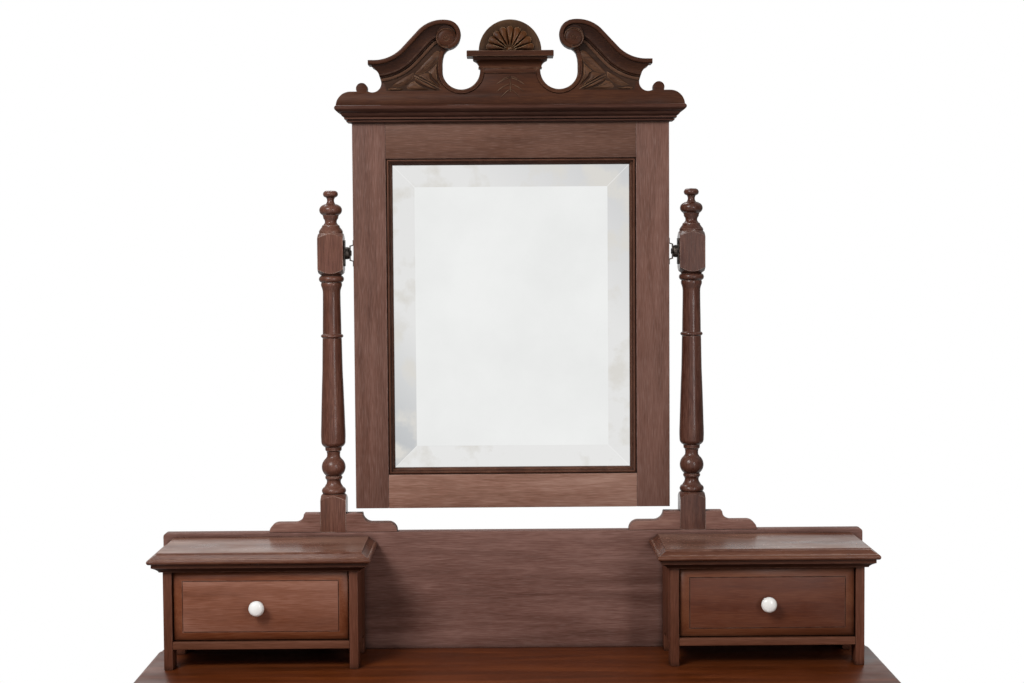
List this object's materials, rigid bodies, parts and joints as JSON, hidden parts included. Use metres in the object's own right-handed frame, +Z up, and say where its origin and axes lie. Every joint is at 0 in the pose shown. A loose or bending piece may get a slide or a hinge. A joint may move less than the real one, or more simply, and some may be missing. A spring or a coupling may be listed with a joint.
{
  "type": "dressing table",
  "caption": "Dressing table with a swing mirror under a broken scroll pediment, turned posts, raised jewel boxes and turned legs.",
  "frame": {"origin": "on the floor, at the middle of the piece's outline seen from above", "axes": "+X to the right seen from the front, +Y to the back, +Z up; the front faces -Y"},
  "size_m": [1.074, 0.5196, 1.6982],
  "materials": {
    "show_wood": "worn dull varnish over open-grained red-brown wood",
    "top_wood": "polished darker red-brown wood",
    "plain_wood": "bare planed wood",
    "back_wood": "bare aged wood",
    "silvered_glass": "silvered plate with a wide bevel",
    "dark_iron": "dark and slightly worn",
    "screw_steel": "dulled",
    "knob_china": "glossy white glaze"
  },
  "bodies": {
    "table": {"front_left_leg": "show_wood", "front_right_leg": "show_wood", "back_left_leg": "show_wood", "back_right_leg": "show_wood", "end_aprons": "show_wood", "back_apron": "show_wood", "front_rails": "show_wood", "drawer_upright": "show_wood", "drawer_runners": "plain_wood", "drawer_kickers": "plain_wood", "table_top": "top_wood", "backboard": "show_wood", "left_post_wings": "show_wood", "right_post_wings": "show_wood", "left_post": "show_wood", "right_post": "show_wood", "back_screws": "screw_steel", "left_box_lid": "show_wood", "left_box_moulding": "show_wood", "left_box_ends": "show_wood", "left_box_floor": "show_wood", "right_box_lid": "show_wood", "right_box_moulding": "show_wood", "right_box_ends": "show_wood", "right_box_floor": "show_wood", "pivot_plates": "dark_iron", "pivot_pins": "dark_iron"},
    "mirror": {"left_stile": "show_wood", "right_stile": "show_wood", "mirror_top_rail": "show_wood", "mirror_low_rail": "show_wood", "sight_moulding": "show_wood", "mirror_glass": "silvered_glass", "glass_fillets": "plain_wood", "mirror_back": "back_wood", "pivot_straps": "dark_iron", "cornice": "show_wood", "pediment_board": "show_wood", "left_swan_neck": "show_wood", "right_swan_neck": "show_wood", "scroll_roundels": "show_wood", "pedestal_cap": "show_wood", "fan_crest": "show_wood"},
    "left_jewel_drawer": {"left_jewel_front": "show_wood", "left_jewel_sides": "plain_wood", "left_jewel_bottom": "plain_wood", "left_jewel_knob": "knob_china"},
    "left_frieze_drawer": {"left_frieze_front": "show_wood", "left_frieze_sides": "plain_wood", "left_frieze_bottom": "plain_wood", "left_frieze_knobs": "knob_china"},
    "right_jewel_drawer": {"right_jewel_front": "show_wood", "right_jewel_sides": "plain_wood", "right_jewel_bottom": "plain_wood", "right_jewel_knob": "knob_china"},
    "right_frieze_drawer": {"right_frieze_front": "show_wood", "right_frieze_sides": "plain_wood", "right_frieze_bottom": "plain_wood", "right_frieze_knobs": "knob_china"}
  },
  "joints": [
    {"name": "mirror_tilt", "type": "hinge", "parent": "table", "child": "mirror", "pos_m": [0, 0.2392, 1.354], "axis": [1, 0, 0], "range_deg": [-60, 60]},
    {"name": "left_jewel_slide", "type": "slide", "parent": "table", "child": "left_jewel_drawer", "axis": [0, -1, 0], "range_m": [0, 0.09]},
    {"name": "right_jewel_slide", "type": "slide", "parent": "table", "child": "right_jewel_drawer", "axis": [0, -1, 0], "range_m": [0, 0.09]},
    {"name": "left_frieze_slide", "type": "slide", "parent": "table", "child": "left_frieze_drawer", "axis": [0, -1, 0], "range_m": [0, 0.3]},
    {"name": "right_frieze_slide", "type": "slide", "parent": "table", "child": "right_frieze_drawer", "axis": [0, -1, 0], "range_m": [0, 0.3]}
  ]
}
